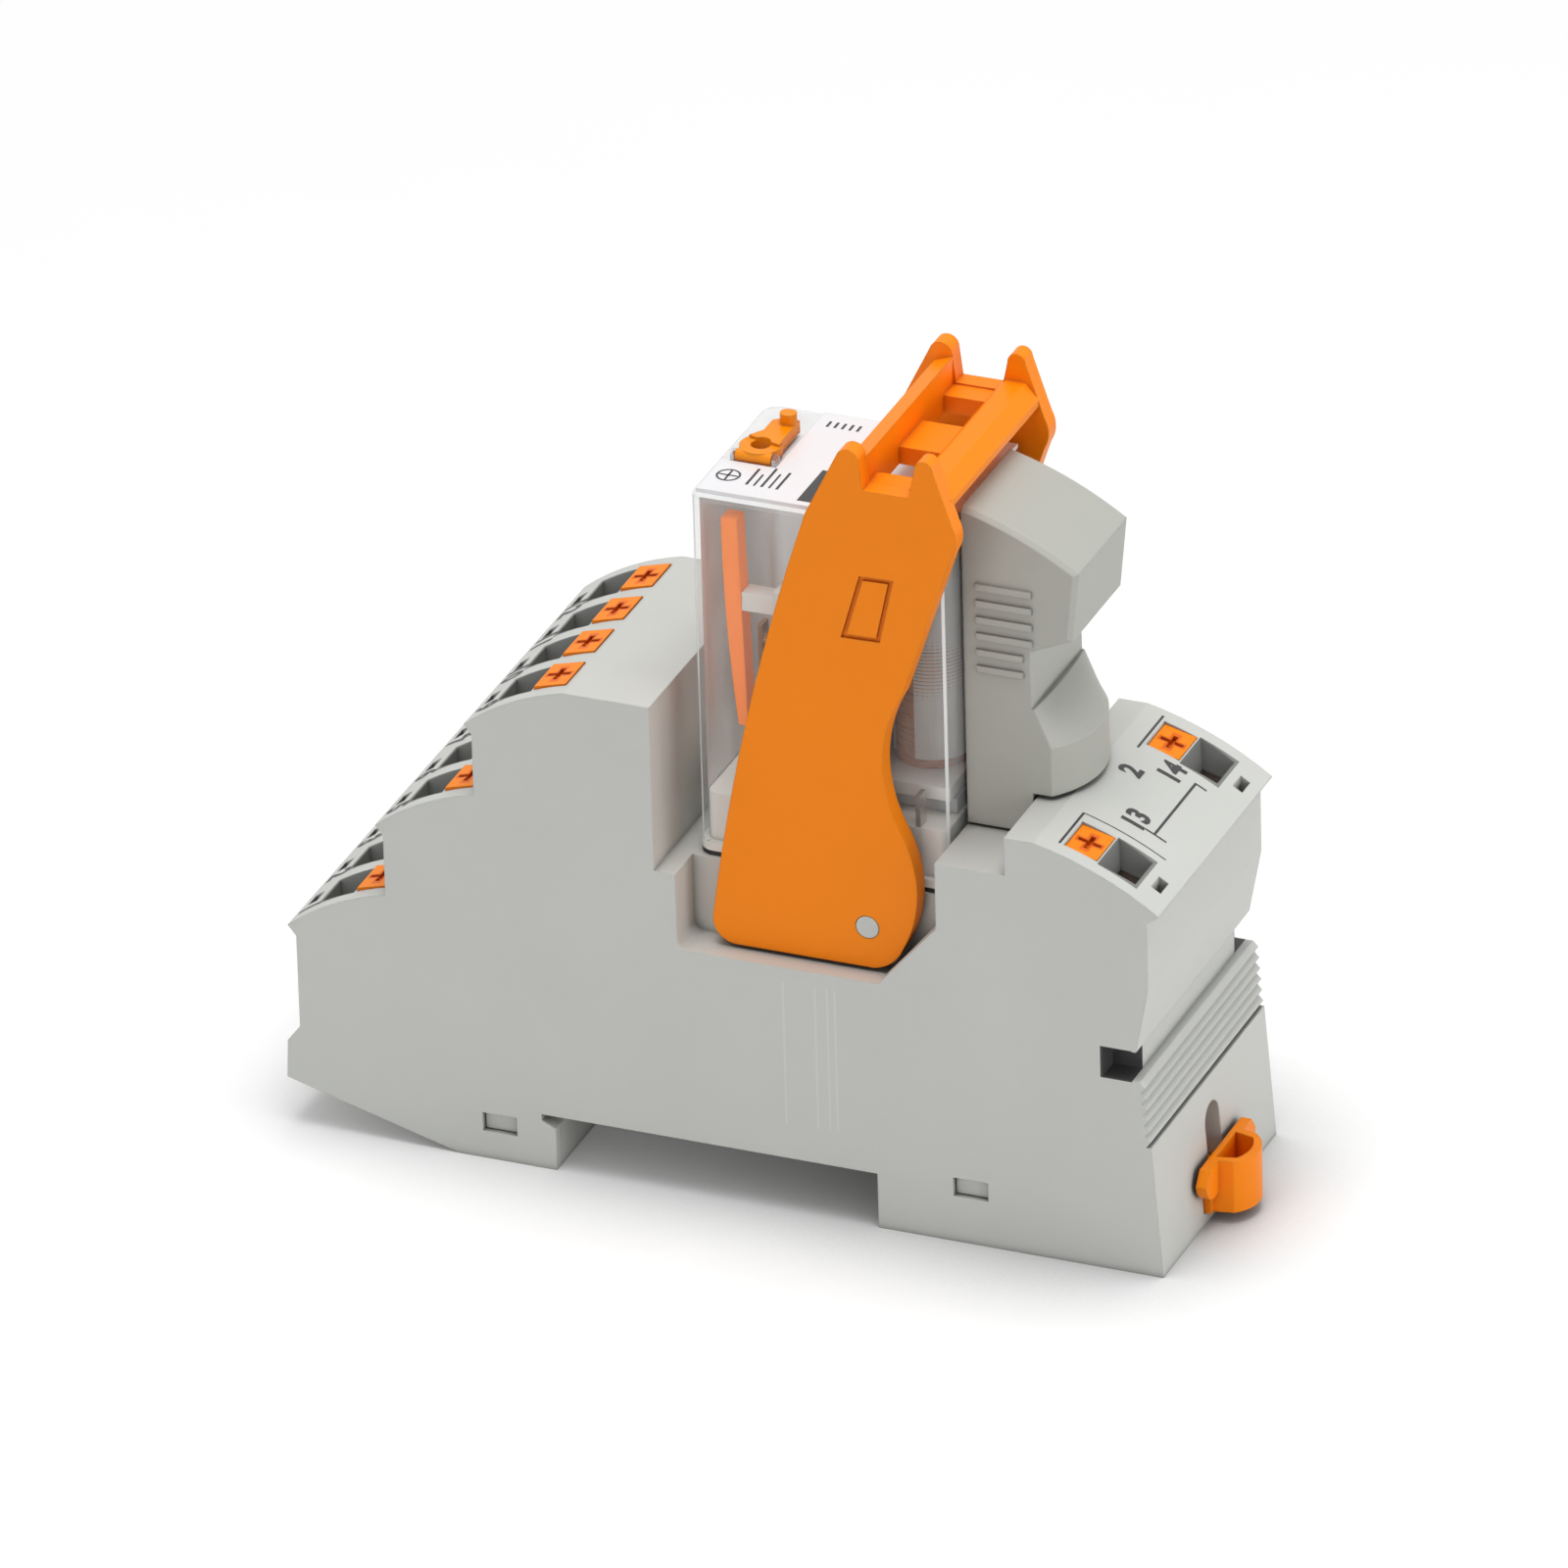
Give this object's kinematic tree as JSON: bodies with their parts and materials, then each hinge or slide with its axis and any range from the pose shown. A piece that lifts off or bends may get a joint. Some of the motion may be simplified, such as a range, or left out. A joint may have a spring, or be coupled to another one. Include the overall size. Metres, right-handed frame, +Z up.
{
  "type": "plug-in relay module",
  "caption": "Plug-in relay on a grey rail-mounting base with stepped push-in terminals, an orange retaining bracket, a plug-in suppressor module and a rail latch.",
  "frame": {"origin": "middle of the rail slot across the rail, at the height of the feet and halfway along the width", "axes": "+X from the contact terminals to the coil terminals, +Y across the base along the mounting rail, +Z up, away from the rail"},
  "size_m": [0.0982, 0.031, 0.0852],
  "materials": {
    "housing_grey": "fine-grained light grey moulding",
    "insert_grey": "fine-grained light grey moulding",
    "orange_plastic": "satin moulding",
    "orange_indicator": "smooth moulding",
    "amber_plastic": "smooth translucent moulding",
    "clear_cover": "clear polycarbonate",
    "cream_plastic": "matt moulding",
    "white_label": "satin printed plate",
    "spring_steel": "rolled strip",
    "tinned_copper": "tinned strip",
    "contact_brass": "stamped strip",
    "magnet_steel": "zinc plated",
    "copper_winding": "enamelled wire",
    "circuit_board": "solder mask",
    "black_epoxy": "moulded epoxy"
  },
  "bodies": {
    "base": {"base_housing": "housing_grey", "base_floor": "insert_grey", "latch_spring": "spring_steel", "lower_contact_rails": "tinned_copper", "middle_contact_rails": "tinned_copper", "upper_contact_rails": "tinned_copper", "coil_contact_rails": "tinned_copper", "relay_base": "cream_plastic", "relay_cover": "clear_cover", "relay_label_plate": "white_label", "normally_open_contacts": "contact_brass", "normally_closed_contacts": "contact_brass", "common_pins": "tinned_copper", "coil_pins": "tinned_copper", "yoke": "magnet_steel", "core": "magnet_steel", "bobbin": "cream_plastic", "coil_winding": "copper_winding", "module_housing": "housing_grey", "module_board": "circuit_board", "suppressor_diode": "black_epoxy", "module_pins": "tinned_copper", "lower_1_clamp_spring": "spring_steel", "lower_2_clamp_spring": "spring_steel", "lower_3_clamp_spring": "spring_steel", "lower_4_clamp_spring": "spring_steel", "middle_1_clamp_spring": "spring_steel", "middle_2_clamp_spring": "spring_steel", "middle_3_clamp_spring": "spring_steel", "middle_4_clamp_spring": "spring_steel", "upper_1_clamp_spring": "spring_steel", "upper_2_clamp_spring": "spring_steel", "upper_3_clamp_spring": "spring_steel", "upper_4_clamp_spring": "spring_steel", "coil_1_clamp_spring": "spring_steel", "coil_2_clamp_spring": "spring_steel"},
    "bracket": {"retaining_bracket": "orange_plastic"},
    "lever": {"test_lever": "amber_plastic"},
    "latch": {"rail_latch": "orange_plastic"},
    "armature": {"armature": "magnet_steel"},
    "contact_set": {"moving_contacts": "contact_brass", "contact_carrier": "cream_plastic", "indicator_arm": "orange_indicator"},
    "lower_1_push": {"lower_1_button": "orange_plastic"},
    "lower_2_push": {"lower_2_button": "orange_plastic"},
    "lower_3_push": {"lower_3_button": "orange_plastic"},
    "lower_4_push": {"lower_4_button": "orange_plastic"},
    "middle_1_push": {"middle_1_button": "orange_plastic"},
    "middle_2_push": {"middle_2_button": "orange_plastic"},
    "middle_3_push": {"middle_3_button": "orange_plastic"},
    "middle_4_push": {"middle_4_button": "orange_plastic"},
    "upper_1_push": {"upper_1_button": "orange_plastic"},
    "upper_2_push": {"upper_2_button": "orange_plastic"},
    "upper_3_push": {"upper_3_button": "orange_plastic"},
    "upper_4_push": {"upper_4_button": "orange_plastic"},
    "coil_1_push": {"coil_1_button": "orange_plastic"},
    "coil_2_push": {"coil_2_button": "orange_plastic"}
  },
  "joints": [
    {"name": "bracket_swing", "type": "hinge", "parent": "base", "child": "bracket", "pos_m": [0.0163, 0, 0.0325], "axis": [0, 1, 0], "range_deg": [0, 22]},
    {"name": "test_lever_turn", "type": "hinge", "parent": "base", "child": "lever", "pos_m": [0.0009, -0.0019, 0.0764], "axis": [1, 0, 0], "range_deg": [0, 90]},
    {"name": "rail_latch_slide", "type": "slide", "parent": "base", "child": "latch", "axis": [1, 0, 0], "range_m": [0, 0.0022], "stiffness_N_per_m": 800, "springref_m": -0.001, "deforming": ["latch_spring"]},
    {"name": "armature_swing", "type": "hinge", "parent": "base", "child": "armature", "pos_m": [0.0122, 0, 0.07135], "axis": [0, 1, 0], "range_deg": [0, 4]},
    {"name": "contact_swing", "type": "hinge", "parent": "base", "child": "contact_set", "pos_m": [0.007, 0, 0.0443], "axis": [0, -1, 0], "range_deg": [0, 2.3]},
    {"name": "lower_1_press", "type": "slide", "parent": "base", "child": "lower_1_push", "axis": [0, 0, -1], "range_m": [0, 0.0015], "stiffness_N_per_m": 2000, "springref_m": -0.0005, "deforming": ["lower_1_clamp_spring"]},
    {"name": "lower_2_press", "type": "slide", "parent": "base", "child": "lower_2_push", "axis": [0, 0, -1], "range_m": [0, 0.0015], "stiffness_N_per_m": 2000, "springref_m": -0.0005, "deforming": ["lower_2_clamp_spring"]},
    {"name": "lower_3_press", "type": "slide", "parent": "base", "child": "lower_3_push", "axis": [0, 0, -1], "range_m": [0, 0.0015], "stiffness_N_per_m": 2000, "springref_m": -0.0005, "deforming": ["lower_3_clamp_spring"]},
    {"name": "lower_4_press", "type": "slide", "parent": "base", "child": "lower_4_push", "axis": [0, 0, -1], "range_m": [0, 0.0015], "stiffness_N_per_m": 2000, "springref_m": -0.0005, "deforming": ["lower_4_clamp_spring"]},
    {"name": "middle_1_press", "type": "slide", "parent": "base", "child": "middle_1_push", "axis": [0, 0, -1], "range_m": [0, 0.0015], "stiffness_N_per_m": 2000, "springref_m": -0.0005, "deforming": ["middle_1_clamp_spring"]},
    {"name": "middle_2_press", "type": "slide", "parent": "base", "child": "middle_2_push", "axis": [0, 0, -1], "range_m": [0, 0.0015], "stiffness_N_per_m": 2000, "springref_m": -0.0005, "deforming": ["middle_2_clamp_spring"]},
    {"name": "middle_3_press", "type": "slide", "parent": "base", "child": "middle_3_push", "axis": [0, 0, -1], "range_m": [0, 0.0015], "stiffness_N_per_m": 2000, "springref_m": -0.0005, "deforming": ["middle_3_clamp_spring"]},
    {"name": "middle_4_press", "type": "slide", "parent": "base", "child": "middle_4_push", "axis": [0, 0, -1], "range_m": [0, 0.0015], "stiffness_N_per_m": 2000, "springref_m": -0.0005, "deforming": ["middle_4_clamp_spring"]},
    {"name": "upper_1_press", "type": "slide", "parent": "base", "child": "upper_1_push", "axis": [0, 0, -1], "range_m": [0, 0.0015], "stiffness_N_per_m": 2000, "springref_m": -0.0005, "deforming": ["upper_1_clamp_spring"]},
    {"name": "upper_2_press", "type": "slide", "parent": "base", "child": "upper_2_push", "axis": [0, 0, -1], "range_m": [0, 0.0015], "stiffness_N_per_m": 2000, "springref_m": -0.0005, "deforming": ["upper_2_clamp_spring"]},
    {"name": "upper_3_press", "type": "slide", "parent": "base", "child": "upper_3_push", "axis": [0, 0, -1], "range_m": [0, 0.0015], "stiffness_N_per_m": 2000, "springref_m": -0.0005, "deforming": ["upper_3_clamp_spring"]},
    {"name": "upper_4_press", "type": "slide", "parent": "base", "child": "upper_4_push", "axis": [0, 0, -1], "range_m": [0, 0.0015], "stiffness_N_per_m": 2000, "springref_m": -0.0005, "deforming": ["upper_4_clamp_spring"]},
    {"name": "coil_1_press", "type": "slide", "parent": "base", "child": "coil_1_push", "axis": [0, 0, -1], "range_m": [0, 0.0015], "stiffness_N_per_m": 2000, "springref_m": -0.0005, "deforming": ["coil_1_clamp_spring"]},
    {"name": "coil_2_press", "type": "slide", "parent": "base", "child": "coil_2_push", "axis": [0, 0, -1], "range_m": [0, 0.0015], "stiffness_N_per_m": 2000, "springref_m": -0.0005, "deforming": ["coil_2_clamp_spring"]}
  ],
  "couplings": [
    {"joint": "contact_swing", "follows": "armature_swing", "ratio": 0.55}
  ]
}
